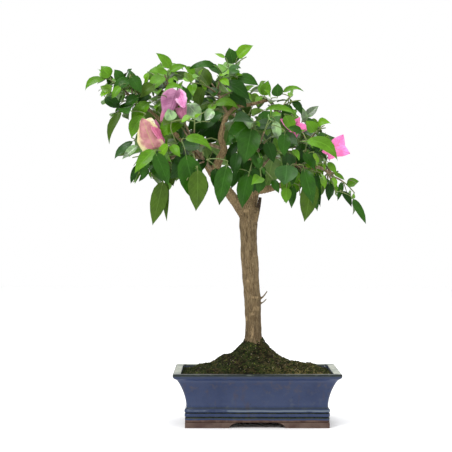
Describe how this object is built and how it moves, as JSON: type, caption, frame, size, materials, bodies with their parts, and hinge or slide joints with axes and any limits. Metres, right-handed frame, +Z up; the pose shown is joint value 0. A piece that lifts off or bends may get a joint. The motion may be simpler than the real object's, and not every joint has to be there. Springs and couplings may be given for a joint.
{
  "type": "bougainvillea bonsai in a glazed pot",
  "caption": "Potted bougainvillea bonsai: a bare trunk with a spreading leafy crown and a few bracts, in a rectangular glazed pot on feet, with a mound of mossy soil.",
  "frame": {"origin": "middle of the whole box in X and Y, at the height of the feet's flat undersides", "axes": "+Z up the tree, +X to the right along the pot's long side, -Y towards the viewer of the front"},
  "size_m": [0.4998, 0.384, 0.6842],
  "materials": {
    "pot_glaze": "glossy mottled blue glaze, greener on edges and in grooves",
    "foot_clay": "bare brown clay, matt",
    "mossy_soil": "dark crumbly soil grown over with moss, matt",
    "bark": "pale grey-brown bark with upright wrinkles, matt",
    "foliage": "glossy mid-green leaves, paler below, with pink bracts"
  },
  "bodies": {
    "root": {"pot": "pot_glaze", "foot_front_left": "foot_clay", "foot_front_right": "foot_clay", "foot_back_left": "foot_clay", "foot_back_right": "foot_clay", "soil_mound": "mossy_soil", "trunk": "bark", "leader": "bark", "bough_left": "bark", "bough_left_out": "bark", "bough_rising": "bark", "bough_ledge": "bark", "bough_right": "bark", "snag": "bark", "twig_stub_upper": "bark", "twig_stub_lower": "bark", "bough_to_left_tip": "bark", "bough_to_left_top": "bark", "bough_to_left_low": "bark", "bough_to_front_right": "bark", "bough_to_right_mid": "bark", "bough_to_back_left": "bark", "bough_to_back_top": "bark", "foliage_left_tip": "foliage", "foliage_left_top": "foliage", "foliage_left_low": "foliage", "foliage_front_left": "foliage", "foliage_apex": "foliage", "foliage_front_right": "foliage", "foliage_right_top": "foliage", "foliage_right_mid": "foliage", "foliage_right_low": "foliage", "foliage_right_tip": "foliage", "foliage_back_left": "foliage", "foliage_back_right": "foliage", "foliage_back_top": "foliage"}
  },
  "joints": []
}
